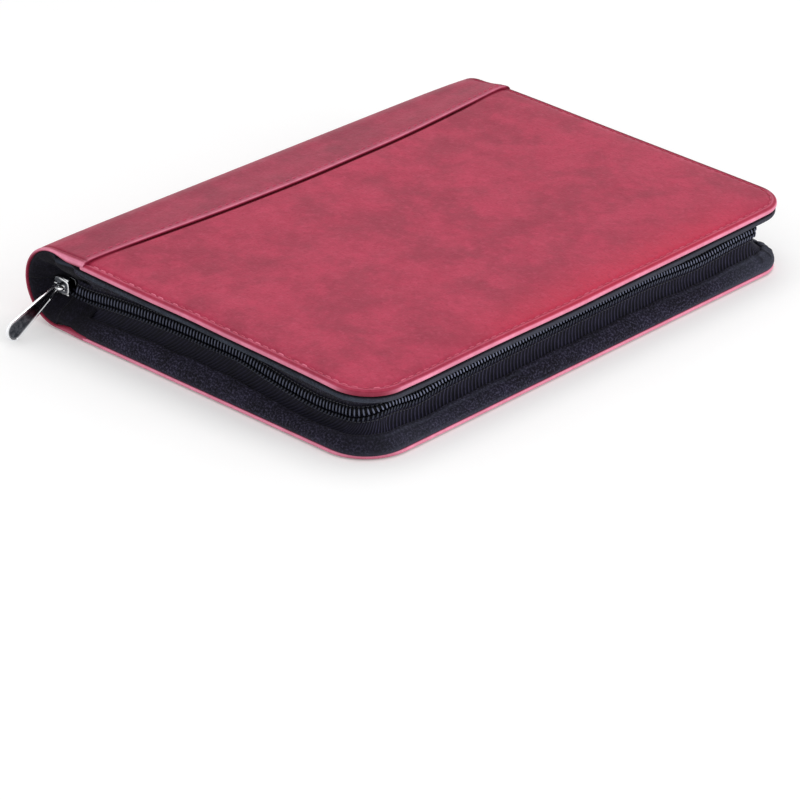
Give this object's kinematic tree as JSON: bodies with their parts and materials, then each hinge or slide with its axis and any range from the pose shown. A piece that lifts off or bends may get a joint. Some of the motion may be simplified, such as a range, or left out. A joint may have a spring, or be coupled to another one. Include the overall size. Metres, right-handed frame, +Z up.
{
  "type": "portfolio case",
  "caption": "Zip-round portfolio case in padded faux leather: two covers on a rounded spine strip, black gussets, coil zip with a chrome slider and pull, pockets inside.",
  "frame": {"origin": "centre of the case's footprint, on the surface that the back cover lies on", "axes": "+Z up through the covers, +Y along the spine towards the zip's far end, +X from the spine to the open edge"},
  "size_m": [0.1841, 0.2613, 0.0344],
  "materials": {
    "leather": "semi-matt grained faux leather, mottled red",
    "gusset_cloth": "matt black nylon cloth",
    "zip_tape": "black herringbone zip tape",
    "zip_teeth": "black nylon coil, slightly glossy",
    "lining": "black lining cloth",
    "board": "grey card",
    "foam": "pale foam",
    "metal": "polished plated zinc"
  },
  "bodies": {
    "back_half": {"back_leather": "leather", "back_foam": "foam", "back_board": "board", "back_lining": "lining", "back_spine_lap": "leather", "lower_gusset": "gusset_cloth", "lower_zip_tape": "zip_tape", "lower_zip_coil": "zip_teeth", "zip_end_stop": "metal", "notepad_sleeve": "lining", "pen_loop": "leather"},
    "spine": {"spine_leather": "leather", "spine_lining": "lining", "end_gusset_near": "gusset_cloth", "end_gusset_far": "gusset_cloth"},
    "front_half": {"front_leather": "leather", "front_foam": "foam", "front_board": "board", "front_lining": "lining", "front_spine_lap": "leather", "upper_gusset": "gusset_cloth", "upper_zip_tape": "zip_tape", "upper_zip_coil": "zip_teeth", "document_pocket": "lining", "card_pocket_1": "lining", "card_pocket_2": "lining", "card_pocket_3": "lining"},
    "slider": {"slider_body": "metal", "slider_bridge": "metal"},
    "pull": {"pull_tab": "metal"}
  },
  "joints": [
    {"name": "rear_hinge", "type": "hinge", "parent": "back_half", "child": "spine", "pos_m": [-0.0883, 0, 0.0037], "axis": [0, -1, 0], "range_deg": [0, 90], "deforming": ["end_gusset_near", "end_gusset_far"]},
    {"name": "front_hinge", "type": "hinge", "parent": "spine", "child": "front_half", "pos_m": [-0.0883, 0, 0.0307], "axis": [0, -1, 0], "range_deg": [0, 91.6]},
    {"name": "slider_slide", "type": "slide", "parent": "back_half", "child": "slider", "axis": [1, 0, 0], "range_m": [0, 0.11]},
    {"name": "pull_swing", "type": "hinge", "parent": "slider", "child": "pull", "pos_m": [-0.0781, -0.11545, 0.0152], "axis": [-1, 0, 0], "range_deg": [-25, 80]}
  ]
}
